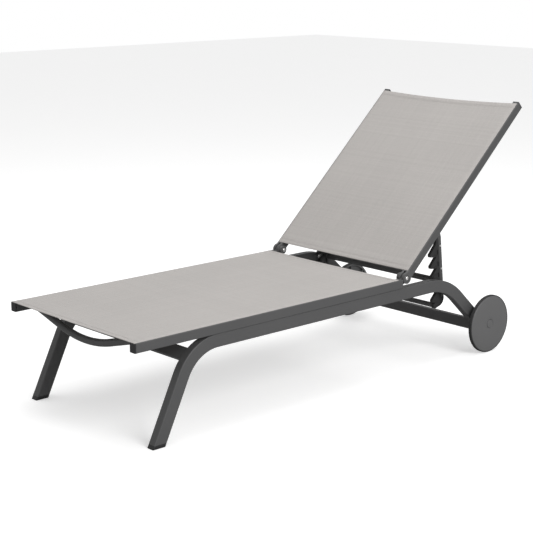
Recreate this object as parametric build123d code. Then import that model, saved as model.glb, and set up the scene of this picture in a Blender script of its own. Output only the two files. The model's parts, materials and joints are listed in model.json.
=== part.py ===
from build123d import *
import os
from math import cos, radians, sin, sqrt, tan

# Reclining sun lounger, millimetres. +X runs from the foot end to the head, +Z is up.
# Everything is first laid out with x = 0 at the foot end and z = 0 on the floor,
# and the finished parts are moved together so that the origin is at the bottom centre.

# ---------------------------------------------------------------- driving dimensions
overall_width = 660.0        # over the outer faces of the side rails
seat_top = 342.5             # top of the seat rails above the floor
seat_length = 1150.0         # foot end to the rear end of the seat rails

rail_width = 26.5            # side rails, seat and back alike
rail_depth = 31.0
rail_wall = 1.6
rail_corner = 2.5

bow_width = 30.0             # side bows, each one bent tube: front leg, side, rear leg
bow_depth = 43.5
bow_wall = 2.0
bow_corner = 3.0
bow_inset = 3.3              # bow's outer face inside the rail's outer face
front_bend = 150.0           # centre-line radius of the front bend
rear_bend = 227.0            # and of the rear bend
foot_x = 84.0                # where the front leg's centre line meets the floor
front_lean = 25.8            # front leg, degrees from upright
rear_slope = 42.6            # rear leg, degrees below level
rear_bend_behind = 220.0     # hinge to where the level and the rear centre lines cross

pivot_behind = 25.0          # hinge between seat and back, behind the seat rails
pivot_above = 1.5            # and above their top
back_angle = 42.7            # back rest as drawn, degrees above level
back_length = 817.0          # hinge to the top end of the back rails

sling_inset = 5.0            # sling edge inside the rail's outer face
sling_thickness = 1.2
seat_sling_front = 0.5       # foot end to the seat sling's hem
seat_sling_rear_gap = 15.0   # rear hem to the rear end of the seat rails
back_sling_low = 22.5        # hinge to the back sling's lower hem
back_sling_top_gap = 10.0    # upper hem to the top end of the back rails

groove_bore = 6.4            # keder channel
groove_slot = 2.6
groove_centre = 6.6          # channel centre below the rail's top
groove_wall = 1.5
keder_diameter = 4.6

curved_tube = 24.0           # dropped cross tubes, outside diameter
curved_tube_wall = 1.6
curved_tube_drop = 53.0
back_tube_drop = 28.0
curved_tube_bend = 480.0     # radius of the middle
curved_tube_end_bend = 80.0
curved_tube_slope = 15.5
seat_tube_front_x = 58.0
seat_tube_rear_gap = 55.0    # to the rear end of the seat rails
back_tube_low_s = 310.0      # along the back rail from the hinge
back_tube_top_gap = 19.0     # to the top end of the back rails

leg_tube_depth = 43.5        # flat cross tube between the front bends
leg_tube_thickness = 15.0
leg_tube_angle = 131.5       # its place round the front bend
leg_tube_inset = 4.0
beam_height = 40.0           # axle beam between the rear legs
beam_thickness = 20.0
beam_ahead = 26.0            # in front of the axle
beam_below = 7.0             # and below it
flat_tube_wall = 1.8

wheel_radius = 107.5
wheel_width = 17.0
wheel_face_outset = 32.0     # wheel face outside the rail's outer face
axle_behind = 429.0          # hinge to the axle
axle_radius = 5.0
tread_thickness = 3.5
tread_width = 13.0
hub_radius = 16.0
hub_length = 25.0
wheel_rib_count = 8

prop_pivot_s = 250.0         # prop pivot along the back rail
prop_tilt = 6.5              # prop as drawn, degrees from upright, foot towards the head end
prop_thickness = 12.0
prop_inboard = 279.0         # inboard face of each prop from the middle
strip_width = 14.0
strip_rear = 29.0            # strip's rear edge behind the pivot line
strip_length = 286.0
prop_eye_radius = 15.0
tooth_pitch = 42.4
tooth_count = 5
tooth_first = 119.0          # tip of the first tooth below the pivot
tooth_reach = 34.0           # tips in front of the pivot line
tooth_tip = 9.0              # width of the blunt tip
tooth_hook = 14.0            # depth of the seat under each tooth
tooth_rise = 33.0            # length of a tooth's sloping upper edge
foot_radius = 29.0
tie_rod_diameter = 18.0
tie_rod_wall = 1.2
tie_rod_seat = 8.0           # how far each end sits in its rack
tie_rod_past_strip = 24.0    # along the arm from the strip's end
tie_rod_ahead = 18.0         # in front of the pivot line
prop_tube_diameter = 22.0

catch_behind = 196.0         # pins on the bows that the teeth rest on, behind the hinge
catch_below = 54.0           # and below it
catch_radius = 5.5
catch_gap = 0.6              # between a catch pin's end and the prop beside it

hinge_radius = 19.5          # round lower end of the back rail
hinge_body = 22.0            # hinge end's length outside the tube
hinge_boss = 11.0            # how far its inboard boss stands in from the rail
hinge_boss_radius = 15.0
tongue_thickness = 7.0
tongue_radius = 15.0
hinge_bolt_radius = 4.0
running_clearance = 0.05
side_gap = 0.4               # beside each part that turns
cap_thickness = 4.0
plug_length = 30.0
plug_gap = 0.1
glide_height = 12.0

# ---------------------------------------------------------------- derived places
rail_y = overall_width / 2 - rail_width / 2
rail_inner = overall_width / 2 - rail_width
rail_z = seat_top - rail_depth / 2
bow_outer = overall_width / 2 - bow_inset
bow_inner = bow_outer - bow_width
bow_y = (bow_outer + bow_inner) / 2
bow_top = seat_top - rail_depth
bow_z = bow_top - bow_depth / 2
sling_half = overall_width / 2 - sling_inset
seat_sling_rear = seat_length - seat_sling_rear_gap
back_sling_top = back_length - back_sling_top_gap
groove_y = sling_half - rail_y
groove_z = rail_depth / 2 - groove_centre
pivot_x = seat_length + pivot_behind
pivot_z = seat_top + pivot_above
rear_bend_x = pivot_x + rear_bend_behind
catch_x = pivot_x + catch_behind
catch_z = pivot_z - catch_below
lean = radians(front_lean)
slope = radians(rear_slope)
front_bend_x = foot_x + bow_z * tan(lean)
bend_centre_x = front_bend_x + front_bend * tan((radians(90) - lean) / 2)
bend_centre_z = bow_z - front_bend
wheel_face = overall_width / 2 + wheel_face_outset
axle_x = pivot_x + axle_behind
axle_z = wheel_radius
beam_x = axle_x - beam_ahead
beam_z = axle_z - beam_below
hub_start = bow_outer + 2.3
prop_outboard = prop_inboard + prop_thickness
washer_thickness = 1.9
washer_radius = 10.0
tie_rod_d = strip_length + tie_rod_past_strip
lip_start = cap_thickness + 1.0

back_frame = Pos(pivot_x, 0, pivot_z) * Rot(0, -back_angle, 0)
prop_frame = back_frame * Pos(prop_pivot_s, 0, 0) * Rot(0, back_angle + 90 - prop_tilt, 0)

parts = {}


# ---------------------------------------------------------------- shared shapes
def outline(*points):
    """Closed straight-sided face, whichever way round its corners are listed."""
    turns = zip(points, points[1:] + points[:1])
    area = sum(a[0] * b[1] - b[0] * a[1] for a, b in turns)
    return Polygon(*(points if area > 0 else points[::-1]), align=None)


def tube_profile(width, depth, wall, corner):
    """Hollow rectangular section."""
    inner = RectangleRounded(width - 2 * wall, depth - 2 * wall, max(corner - wall, 0.6))
    return RectangleRounded(width, depth, corner) - inner


def rail_profile(side):
    """Side rail section with its keder channel near the outer top edge."""
    solid = RectangleRounded(rail_width, rail_depth, rail_corner)
    channel = Pos(side * groove_y, groove_z)
    neck = Pos(side * groove_y, groove_z + groove_centre / 2)
    boss = channel * Circle(groove_bore / 2 + groove_wall)
    boss += neck * Rectangle(groove_slot + 2 * groove_wall, groove_centre)
    cavity_corner = rail_corner - rail_wall + 0.4
    cavity = RectangleRounded(rail_width - 2 * rail_wall, rail_depth - 2 * rail_wall, cavity_corner)
    slot = neck * Rectangle(groove_slot, groove_centre + 1)
    return solid - (cavity - boss) - channel * Circle(groove_bore / 2) - slot


def along_x(profile, x, y, z, length):
    """Extrude a section, drawn in Y and Z, along +X."""
    return extrude(Plane(origin=(x, y, z), x_dir=(0, 1, 0), z_dir=(1, 0, 0)) * profile, amount=length)


def along_y(profile, y_from, y_to):
    """Extrude a side view, drawn in X and Z, from one Y to another."""
    low, high = min(y_from, y_to), max(y_from, y_to)
    side_plane = Plane(origin=(0, low, 0), x_dir=(1, 0, 0), z_dir=(0, -1, 0))
    return extrude(side_plane * profile, amount=low - high)


def pin_y(x, z, radius, y_from, y_to):
    """Cylinder along Y."""
    return along_y(Pos(x, z) * Circle(radius), y_from, y_to)


def hex_y(x, z, across_flats, y_from, y_to):
    """Hexagonal prism along Y."""
    return along_y(Pos(x, z) * RegularPolygon(across_flats / sqrt(3), 6), y_from, y_to)


def rail_cavity_plug(side, x, length):
    """Insert that fills the rail's cavity below the keder channel, in rail coordinates."""
    low = -rail_depth / 2 + rail_wall + plug_gap
    high = groove_z - groove_bore / 2 - groove_wall - plug_gap
    width = rail_width - 2 * rail_wall - 2 * plug_gap
    section = RectangleRounded(width, high - low, rail_corner - 1.0)
    return along_x(section, x, side * rail_y, (low + high) / 2, length)


def dropped_tube(drop):
    """Cross tube between the side rails that dips in the middle, in Y and Z, ends at z = 0."""
    rise = radians(curved_tube_slope)
    corner_depth = drop + curved_tube_bend * (1 / cos(rise) - 1)
    knee = corner_depth / tan(rise)
    path = FilletPolyline(
        (0, -rail_inner, 0),
        (0, -knee, 0),
        (0, 0, -corner_depth),
        (0, knee, 0),
        (0, rail_inner, 0),
        radius=[curved_tube_end_bend, curved_tube_bend, curved_tube_end_bend],
    )
    ring = Circle(curved_tube / 2) - Circle(curved_tube / 2 - curved_tube_wall)
    return sweep(Plane(origin=path @ 0, z_dir=path % 0) * ring, path=path)


def both_sides(name, make):
    """Make the left (-Y) and right (+Y) piece, each in its own node."""
    parts[name + "_left"] = make(-1)
    parts[name + "_right"] = make(1)


# ---------------------------------------------------------------- seat rails and their ends
rail_bolt_places = (430.0, seat_length - 110.0)
rail_bolt_radius = 3.0
rail_bolt_head = 5.5
rail_bolt_head_height = 3.2


def seat_rail(side):
    rail = along_x(rail_profile(side), cap_thickness, side * rail_y, rail_z, seat_length - cap_thickness)
    for x in rail_bolt_places:
        rail -= Pos(x, side * bow_y, bow_top) * Cylinder(rail_bolt_radius, 2 * rail_wall + 2)
    return rail


def seat_rail_cap(side):
    face = RectangleRounded(rail_width, rail_depth, rail_corner)
    plate = along_x(face, 0, side * rail_y, rail_z, cap_thickness)
    plate = fillet(plate.faces().sort_by(Axis.X)[0].edges(), 1.2)
    return plate + Pos(0, 0, rail_z) * rail_cavity_plug(side, cap_thickness, plug_length)


def hinge_bracket(side):
    """Plug in the rear end of a seat rail, with the tongue that carries the hinge bolt."""
    face = RectangleRounded(rail_width, rail_depth, rail_corner)
    end_x = pivot_x - hinge_radius - 1.0
    plate = along_x(face, seat_length, side * rail_y, rail_z, end_x - seat_length)
    plug = Pos(0, 0, rail_z) * rail_cavity_plug(side, seat_length - plug_length, plug_length)
    arm = outline(
        (seat_length + 2, rail_z - 10),
        (end_x + 3, rail_z - 10),
        (pivot_x + tongue_radius * cos(radians(-35)), pivot_z + tongue_radius * sin(radians(-35))),
        (pivot_x, pivot_z),
        (pivot_x - tongue_radius * 0.8, pivot_z + tongue_radius * 0.6),
        (seat_length + 2, rail_z + 12),
    )
    tongue = arm + Pos(pivot_x, pivot_z) * Circle(tongue_radius)
    tongue = along_y(tongue, side * rail_y - tongue_thickness / 2, side * rail_y + tongue_thickness / 2)
    bore = pin_y(pivot_x, pivot_z, hinge_bolt_radius, side * rail_inner, side * overall_width / 2)
    return plate + plug + tongue - bore


both_sides("seat_rail", seat_rail)
both_sides("seat_rail_cap", seat_rail_cap)
both_sides("hinge_bracket", hinge_bracket)

# ---------------------------------------------------------------- side bows
bow_foot = (foot_x - 40 * tan(lean), 0, -40.0)
bow_front_corner = (front_bend_x, 0, bow_z)
bow_rear_corner = (rear_bend_x, 0, bow_z)
rear_run = (axle_x - rear_bend_x) / cos(slope) + 30.0
bow_tail = (rear_bend_x + rear_run * cos(slope), 0, bow_z - rear_run * sin(slope))
bow_corners = (bow_foot, bow_front_corner, bow_rear_corner, bow_tail)
bow_path = FilletPolyline(*bow_corners, radius=[front_bend, rear_bend])
leg_direction = Vector(sin(lean), 0, cos(lean))
tail_direction = Vector(cos(slope), 0, -sin(slope))


def leg_plane(origin, direction):
    return Plane(origin=origin, x_dir=(0, 1, 0), z_dir=direction)


def bow_insert():
    """Section of a plug that fits inside the bow."""
    inset = bow_wall + plug_gap
    return RectangleRounded(bow_width - 2 * inset, bow_depth - 2 * inset, bow_corner - bow_wall)


def slab(z_from, z_to):
    """Level slice of space round the front leg."""
    height = z_to - z_from
    return Pos(foot_x, 0, z_from) * Box(400, 120, height, align=(Align.CENTER, Align.CENTER, Align.MIN))


def bow(side):
    section = tube_profile(bow_width, bow_depth, bow_wall, bow_corner)
    tube = sweep(leg_plane(bow_path @ 0, bow_path % 0) * section, path=bow_path)
    tube -= slab(-80, glide_height)
    tube = Pos(0, side * bow_y, 0) * tube
    tube -= pin_y(axle_x, axle_z, axle_radius, side * (bow_inner - 1), side * (bow_outer + 1))
    tube -= pin_y(catch_x, catch_z, catch_radius, side * (bow_inner - 1), side * bow_y)
    for x in rail_bolt_places:
        tube -= Pos(x, side * bow_y, bow_z) * Cylinder(rail_bolt_radius, bow_depth + 2)
    return tube


def foot_glide(side):
    """Foot plug, cut level with the floor."""
    sole_profile = leg_plane(bow_foot, leg_direction) * RectangleRounded(bow_width, bow_depth, bow_corner)
    sole = extrude(sole_profile, amount=120) & slab(0, glide_height)
    insert_profile = leg_plane(bow_foot, leg_direction) * bow_insert()
    insert = extrude(insert_profile, amount=140) & slab(glide_height, glide_height + plug_length)
    return Pos(0, side * bow_y, 0) * (sole + insert)


def bow_end_plug(side):
    outer = leg_plane(bow_tail, tail_direction) * RectangleRounded(bow_width, bow_depth, bow_corner)
    plate = extrude(outer, amount=cap_thickness)
    inner = leg_plane(bow_tail, tail_direction) * bow_insert()
    return Pos(0, side * bow_y, 0) * (plate + extrude(inner, amount=-12))


def catch_pin(side):
    """Pin on the bow's inner face that a prop tooth hooks over."""
    end = side * (prop_outboard + catch_gap)
    pin = pin_y(catch_x, catch_z, catch_radius, side * (bow_inner + bow_wall + 4), end)
    return pin + pin_y(catch_x, catch_z, catch_radius + 3.5, side * bow_inner, side * (bow_inner - 2))


both_sides("side_bow", bow)
both_sides("foot_glide", foot_glide)
both_sides("bow_end_plug", bow_end_plug)
both_sides("catch_pin", catch_pin)

rail_bolts = []
for side in (-1, 1):
    for x in rail_bolt_places:
        top = bow_top + rail_wall + 4
        under = bow_top - bow_depth
        shank = Pos(x, side * bow_y, under) * Cylinder(
            rail_bolt_radius, top - under, align=(Align.CENTER, Align.CENTER, Align.MIN)
        )
        head = Pos(x, side * bow_y, under) * Cylinder(
            rail_bolt_head, rail_bolt_head_height, align=(Align.CENTER, Align.CENTER, Align.MAX)
        )
        rail_bolts.append(shank + head)
parts["rail_bolts"] = Compound(children=rail_bolts)

# ---------------------------------------------------------------- cross members of the base
parts["seat_front_tube"] = Pos(seat_tube_front_x, 0, rail_z) * dropped_tube(curved_tube_drop)
parts["seat_rear_tube"] = Pos(seat_length - seat_tube_rear_gap, 0, rail_z) * dropped_tube(curved_tube_drop)

leg_tube_radius = front_bend + bow_depth / 2 - leg_tube_inset - leg_tube_thickness / 2
leg_tube_x = bend_centre_x + leg_tube_radius * cos(radians(leg_tube_angle))
leg_tube_z = bend_centre_z + leg_tube_radius * sin(radians(leg_tube_angle))
leg_tube_section = tube_profile(leg_tube_thickness, leg_tube_depth, flat_tube_wall, 2.5)
parts["front_leg_tube"] = along_y(
    Pos(leg_tube_x, leg_tube_z) * Rot(0, 0, leg_tube_angle) * leg_tube_section, -bow_inner, bow_inner
)
beam_section = tube_profile(beam_thickness, beam_height, flat_tube_wall, 3.0)
parts["axle_beam"] = along_y(Pos(beam_x, beam_z) * beam_section, -bow_inner, bow_inner)

# ---------------------------------------------------------------- wheels, turning on stub axles
face_a = wheel_face - hub_start
rim_a = face_a - wheel_width
tread_a = rim_a + (wheel_width - tread_width) / 2
axle_head = 9.0
axle_head_thickness = 4.0
pocket_radius = 11.0
cap_radius = 16.0
cap_seat_a = face_a - 3.0
web_thickness = 3.5
rim_thickness = 6.0
rim_radius = wheel_radius - tread_thickness


def wheel_place(side):
    return Pos(axle_x, side * hub_start, axle_z) * Rot(-side * 90, 0, 0)


def wheel(side):
    """Disc wheel: domed face, rim, hub and ribs on the inboard side. Its axle is local Z."""
    bore = axle_radius + running_clearance
    half = outline(
        (bore, 0),
        (hub_radius, 0),
        (hub_radius, face_a - web_thickness - 2.5),
        (hub_radius + 2, face_a - web_thickness - 0.5),
        (rim_radius - rim_thickness, face_a - web_thickness - 2.0),
        (rim_radius - rim_thickness, rim_a),
        (rim_radius - 0.8, rim_a),
        (rim_radius, rim_a + 0.8),
        (rim_radius, face_a - 3.0),
        (rim_radius - 1.5, face_a - 1.3),
        (rim_radius - 5.0, face_a - 0.8),
        (cap_radius + 3.0, face_a),
        (cap_radius + 0.1, face_a - 0.6),
        (cap_radius + 0.1, cap_seat_a),
        (pocket_radius, cap_seat_a),
        (pocket_radius, hub_length),
        (bore, hub_length),
    )
    disc = revolve(Plane.XZ * half, Axis.Z)
    rib_from = hub_radius - 1.0
    rib_to = rim_radius - rim_thickness + 1.0
    rib_height = face_a - web_thickness - rim_a - 3.0
    for i in range(wheel_rib_count):
        rib = Pos(rib_from, 0, rim_a + 2.0) * Box(
            rib_to - rib_from, 3.0, rib_height + 1.5, align=(Align.MIN, Align.CENTER, Align.MIN)
        )
        disc += Rot(0, 0, i * 360 / wheel_rib_count) * rib
    return wheel_place(side) * disc


def wheel_tread(side):
    ring = outline(
        (rim_radius, tread_a),
        (wheel_radius - 1.2, tread_a),
        (wheel_radius, tread_a + 2.0),
        (wheel_radius, tread_a + tread_width - 2.0),
        (wheel_radius - 1.2, tread_a + tread_width),
        (rim_radius, tread_a + tread_width),
    )
    return wheel_place(side) * revolve(Plane.XZ * ring, Axis.Z)


def hub_cap(side):
    dome = outline(
        (0, cap_seat_a),
        (cap_radius, cap_seat_a),
        (cap_radius, face_a - 0.8),
        (cap_radius - 1.0, face_a),
        (6.0, face_a + 0.9),
        (0, face_a + 1.0),
    )
    return wheel_place(side) * revolve(Plane.XZ * dome, Axis.Z)


def axle(side):
    """Stub axle: head under the hub cap, shank through the hub and the bow."""
    head = wheel_place(side) * Pos(0, 0, hub_length + side_gap) * Cylinder(
        axle_head, axle_head_thickness, align=(Align.CENTER, Align.CENTER, Align.MIN)
    )
    shank_out = side * (hub_start + hub_length + side_gap)
    shank_in = side * (bow_inner - 12)
    return head + pin_y(axle_x, axle_z, axle_radius, shank_in, shank_out)


def axle_washer(side):
    face = bow_outer + washer_thickness
    ring = pin_y(axle_x, axle_z, washer_radius, side * bow_outer, side * face)
    return ring - pin_y(axle_x, axle_z, axle_radius, side * (bow_outer - 1), side * (face + 1))


def axle_nut(side):
    nut = hex_y(axle_x, axle_z, 17.0, side * bow_inner, side * (bow_inner - 8))
    return nut - pin_y(axle_x, axle_z, axle_radius, side * (bow_inner + 1), side * (bow_inner - 9))


both_sides("wheel", wheel)
both_sides("wheel_tread", wheel_tread)
both_sides("hub_cap", hub_cap)
both_sides("axle", axle)
both_sides("axle_nut", axle_nut)
parts["axle_washers"] = Compound(children=[axle_washer(-1), axle_washer(1)])

# ---------------------------------------------------------------- back frame, drawn along +X from the hinge
prop_bolt_radius = 4.0
prop_bolt_head = 7.5
prop_bolt_head_height = 4.5


def back_rail(side):
    length = back_length - cap_thickness - hinge_body
    rail = along_x(rail_profile(side), hinge_body, side * rail_y, 0, length)
    rail -= pin_y(prop_pivot_s, 0, prop_bolt_radius, side * (rail_inner - 1), side * rail_y)
    return back_frame * rail


def back_rail_cap(side):
    face = RectangleRounded(rail_width, rail_depth, rail_corner)
    start = back_length - cap_thickness
    plate = along_x(face, start, side * rail_y, 0, cap_thickness)
    plate = fillet(plate.faces().sort_by(Axis.X)[-1].edges(), 1.2)
    return back_frame * (plate + rail_cavity_plug(side, start - plug_length, plug_length))


def hinge_end(side):
    """Round fork on the lower end of a back rail; the seat's tongue sits between its ears."""
    body = along_y(Circle(hinge_radius), side * rail_inner, side * overall_width / 2)
    body += pin_y(0, 0, hinge_boss_radius, side * (rail_inner - hinge_boss), side * (rail_inner + 1))
    face = RectangleRounded(rail_width, rail_depth, rail_corner)
    body += along_x(face, 0, side * rail_y, 0, hinge_body)
    body += rail_cavity_plug(side, hinge_body, plug_length)
    slot_half = tongue_thickness / 2 + side_gap
    slot_depth = tongue_radius + 3.0
    slot = Pos(slot_depth, side * rail_y, 0) * Box(
        2 * hinge_body + 20, 2 * slot_half, 3 * hinge_radius, align=(Align.MAX, Align.CENTER, Align.CENTER)
    )
    bore_from = side * (rail_inner - hinge_boss - 1)
    bore = pin_y(0, 0, hinge_bolt_radius + running_clearance, bore_from, side * (overall_width / 2 + 1))
    recess = pin_y(0, 0, 10.0, side * (overall_width / 2 - 2.6), side * (overall_width / 2 + 1))
    return back_frame * (body - slot - bore - recess)


both_sides("back_rail", back_rail)
both_sides("back_rail_cap", back_rail_cap)
both_sides("hinge_end", hinge_end)
parts["back_lower_tube"] = back_frame * Pos(back_tube_low_s, 0, 0) * dropped_tube(back_tube_drop)
back_tube_top_s = back_length - back_tube_top_gap
parts["back_top_tube"] = back_frame * Pos(back_tube_top_s, 0, 0) * dropped_tube(back_tube_drop)


# ---------------------------------------------------------------- hinge bolts, fixed in the seat's tongues
def hinge_bolt(side):
    face = overall_width / 2
    shank = pin_y(pivot_x, pivot_z, hinge_bolt_radius, side * (rail_inner - hinge_boss - 6.5), side * face)
    head = pin_y(pivot_x, pivot_z, 7.0, side * (face - 2.6 + side_gap), side * (face + 1.0))
    return shank + head


def hinge_nut(side):
    start = rail_inner - hinge_boss - side_gap
    nut = pin_y(pivot_x, pivot_z, 6.8, side * start, side * (start - 5.5))
    return nut - pin_y(pivot_x, pivot_z, hinge_bolt_radius, side * (start + 1), side * (start - 6.5))


both_sides("hinge_bolt", hinge_bolt)
both_sides("hinge_nut", hinge_nut)


# ---------------------------------------------------------------- slings and keder rods
def sling(x_from, x_to, top, lip_from):
    """Plain sheet over the rails with a lip down into each keder slot from lip_from on."""
    bottom = top + 0.1
    width = 2 * sling_half + sling_thickness
    sheet = Pos(x_from, 0, bottom) * Box(
        x_to - x_from, width, sling_thickness, align=(Align.MIN, Align.CENTER, Align.MIN)
    )
    lip_depth = groove_centre - keder_diameter / 2
    for side in (-1, 1):
        sheet += Pos(lip_from, side * sling_half, bottom) * Box(
            x_to - lip_from, sling_thickness, lip_depth, align=(Align.MIN, Align.CENTER, Align.MAX)
        )
    return sheet


def keder_rods(x_from, x_to, top):
    rods = []
    for side in (-1, 1):
        centre = top - groove_centre
        rods.append(along_x(Circle(keder_diameter / 2), x_from, side * sling_half, centre, x_to - x_from))
    return rods


back_lip_start = max(back_sling_low, hinge_body + 1.0)
parts["seat_sling"] = sling(seat_sling_front, seat_sling_rear, seat_top, lip_start)
parts["back_sling"] = back_frame * sling(back_sling_low, back_sling_top, rail_depth / 2, back_lip_start)
parts["seat_keder_rods"] = Compound(children=keder_rods(lip_start, seat_sling_rear, seat_top))
back_rods = [back_frame * rod for rod in keder_rods(back_lip_start, back_sling_top, rail_depth / 2)]
parts["back_keder_rods"] = Compound(children=back_rods)


# ---------------------------------------------------------------- prop, drawn with +X down the arm, +Z to the rear
def prop_strip(side):
    """Metal backbone of a prop arm with the pivot eye at its top."""
    front = strip_rear - strip_width
    bar = outline(
        (4, prop_eye_radius * 0.96),
        (62, strip_rear),
        (strip_length, strip_rear),
        (strip_length, front),
        (72, front),
        (6, -prop_eye_radius * 0.9),
    )
    shape = bar + Circle(prop_eye_radius)
    body = along_y(shape, side * prop_inboard, side * prop_outboard)
    bore_radius = prop_bolt_radius + running_clearance
    bore = pin_y(0, 0, bore_radius, side * (prop_inboard - 1), side * (prop_outboard + 1))
    return prop_frame * (body - bore)


def rack_outline():
    """Side view of the toothed rack and its foot, which is rounded at the rear."""
    front = strip_rear - strip_width
    points = [(56, front - 8.0), (tooth_first - tooth_rise, -1.0)]
    for i in range(tooth_count):
        tip = tooth_first + i * tooth_pitch
        points.append((tip - 3, -tooth_reach))
        points.append((tip - 3 + tooth_tip, -tooth_reach + 1.0))
        points.append((tip + 10.5, -tooth_hook))
        points.append((tip + 10, 1.0))
    notch_end = tooth_first + (tooth_count - 1) * tooth_pitch + 10.0
    points += [(tie_rod_d - tie_rod_diameter / 2, -tie_rod_ahead - 4), (tie_rod_d, 0)]
    points += [(strip_length, strip_rear), (strip_length, front), (72, front)]
    rear_half = Pos(0, foot_radius / 2) * Rectangle(2 * foot_radius, foot_radius)
    heel = Pos(strip_length + 2, 0) * (Circle(foot_radius) & rear_half)
    nose_radius = tie_rod_diameter / 2 + 1.5
    web = outline(
        (notch_end, -4),
        (tie_rod_d, -tie_rod_ahead),
        (tie_rod_d + nose_radius - 1, -tie_rod_ahead),
        (strip_length + 2 + foot_radius, 1),
        (notch_end, strip_rear - 4),
    )
    nose = Pos(tie_rod_d, -tie_rod_ahead) * Circle(nose_radius)
    return outline(*points) + heel + web + nose


def toothed_rack(side):
    """Moulded rack: teeth on its front edge and a recessed pocket behind each tooth."""
    body = along_y(rack_outline(), side * prop_inboard, side * prop_outboard)
    strip = Pos(strip_length / 2, strip_rear - strip_width / 2) * Rectangle(strip_length, strip_width)
    body -= along_y(strip, side * (prop_inboard - 1), side * (prop_outboard + 1))
    seat_to = side * (prop_inboard + tie_rod_seat)
    body -= pin_y(tie_rod_d, -tie_rod_ahead, tie_rod_diameter / 2, side * (prop_inboard - 1), seat_to)
    pocket_depth = 3.0
    for i in range(tooth_count - 1):
        tip = tooth_first + i * tooth_pitch
        pocket = outline((tip - 12, -9), (tip + 3, -18), (tip + 6, -13), (tip + 6, 9), (tip - 12, 9))
        body -= along_y(pocket, side * (prop_outboard - pocket_depth), side * (prop_outboard + 1))
        body -= along_y(pocket, side * (prop_inboard - 1), side * (prop_inboard + pocket_depth))
    return prop_frame * body


def prop_bolt(side):
    """Shoulder bolt from the prop's inboard side into the back rail's inner wall."""
    start = prop_inboard - side_gap
    head = pin_y(prop_pivot_s, 0, prop_bolt_head, side * start, side * (start - prop_bolt_head_height))
    shank = pin_y(prop_pivot_s, 0, prop_bolt_radius, side * start, side * (rail_inner + 6))
    return back_frame * (shank + head)


def prop_spacer(side):
    bush = pin_y(prop_pivot_s, 0, 8.0, side * (prop_outboard + side_gap), side * rail_inner)
    bore = pin_y(prop_pivot_s, 0, prop_bolt_radius, side * prop_outboard, side * (rail_inner + 1))
    return back_frame * (bush - bore)


both_sides("prop_strip", prop_strip)
both_sides("toothed_rack", toothed_rack)
both_sides("prop_bolt", prop_bolt)
parts["prop_spacers"] = Compound(children=[prop_spacer(-1), prop_spacer(1)])

prop_tube_d = 228.0
prop_tube_rear = strip_rear - prop_tube_diameter / 2
prop_tube_ring = Circle(prop_tube_diameter / 2) - Circle(prop_tube_diameter / 2 - curved_tube_wall)
parts["prop_cross_tube"] = prop_frame * along_y(
    Pos(prop_tube_d, prop_tube_rear) * prop_tube_ring, -prop_inboard, prop_inboard
)
tie_ring = Circle(tie_rod_diameter / 2) - Circle(tie_rod_diameter / 2 - tie_rod_wall)
parts["tie_rod"] = prop_frame * along_y(
    Pos(tie_rod_d, -tie_rod_ahead) * tie_ring, -prop_inboard - tie_rod_seat, prop_inboard + tie_rod_seat
)

rivet_radius = 3.5
rivet_height = 1.2
rivets = []
for side in (-1, 1):
    for d in (95.0, 180.0, 265.0):
        head_y = side * (prop_outboard + rivet_height)
        rivet = pin_y(d, strip_rear - strip_width / 2, rivet_radius, head_y, side * prop_outboard)
        rivets.append(prop_frame * rivet)
parts["rack_rivets"] = Compound(children=rivets)

# ---------------------------------------------------------------- move to the bottom centre and write
box = Compound([solid for piece in parts.values() for solid in piece.solids()]).bounding_box()
origin_shift = Pos(-(box.min.X + box.max.X) / 2, -(box.min.Y + box.max.Y) / 2, -box.min.Z)

if __name__ == "__main__":
    os.makedirs("parts", exist_ok=True)
    for name, piece in parts.items():
        solids = (origin_shift * piece).solids()
        export_step(Compound(solids) if len(solids) > 1 else solids[0], "parts/" + name + ".step")
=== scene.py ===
"""Looks for a reclining sun lounger with a mesh sling, a toothed prop and two wheels.

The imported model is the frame. Everything is in metres: +X runs to the head end, +Z is up.
"""

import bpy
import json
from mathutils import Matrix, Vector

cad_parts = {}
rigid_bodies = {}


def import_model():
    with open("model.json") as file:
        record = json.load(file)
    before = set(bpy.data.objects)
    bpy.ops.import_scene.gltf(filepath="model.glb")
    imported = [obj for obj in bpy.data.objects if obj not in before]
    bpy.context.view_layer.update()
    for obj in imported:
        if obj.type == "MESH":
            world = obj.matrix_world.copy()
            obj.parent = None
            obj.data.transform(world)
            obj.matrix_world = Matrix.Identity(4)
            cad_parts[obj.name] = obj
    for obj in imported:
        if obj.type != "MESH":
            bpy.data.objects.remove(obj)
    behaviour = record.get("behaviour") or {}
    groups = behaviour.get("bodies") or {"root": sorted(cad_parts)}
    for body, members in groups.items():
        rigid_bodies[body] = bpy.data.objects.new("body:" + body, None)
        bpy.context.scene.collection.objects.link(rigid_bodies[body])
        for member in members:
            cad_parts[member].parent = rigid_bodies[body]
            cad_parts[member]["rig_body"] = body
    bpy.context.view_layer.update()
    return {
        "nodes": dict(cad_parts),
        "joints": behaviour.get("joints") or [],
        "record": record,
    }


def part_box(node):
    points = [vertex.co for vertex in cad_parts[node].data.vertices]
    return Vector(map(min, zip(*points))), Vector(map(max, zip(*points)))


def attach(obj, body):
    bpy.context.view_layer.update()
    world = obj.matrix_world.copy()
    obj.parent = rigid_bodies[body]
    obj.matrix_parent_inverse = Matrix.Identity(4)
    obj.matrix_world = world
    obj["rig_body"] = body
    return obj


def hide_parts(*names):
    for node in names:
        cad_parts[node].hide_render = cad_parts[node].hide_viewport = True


bl_info = {
    "name": "Sun Lounger Looks",
    "version": (1, 0, 0),
    "blender": (4, 5, 0),
    "location": "3D View > Sidebar > Lounger",
    "description": "Builds the slings, wheels, fittings, finishes and studio of a reclining sun lounger",
    "category": "Object",
}

import json
from math import cos, pi, radians, sin

import bmesh
import bpy
import numpy as np
from bpy.props import FloatProperty, FloatVectorProperty, IntProperty, PointerProperty
from mathutils import Matrix, Vector

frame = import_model()

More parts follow.
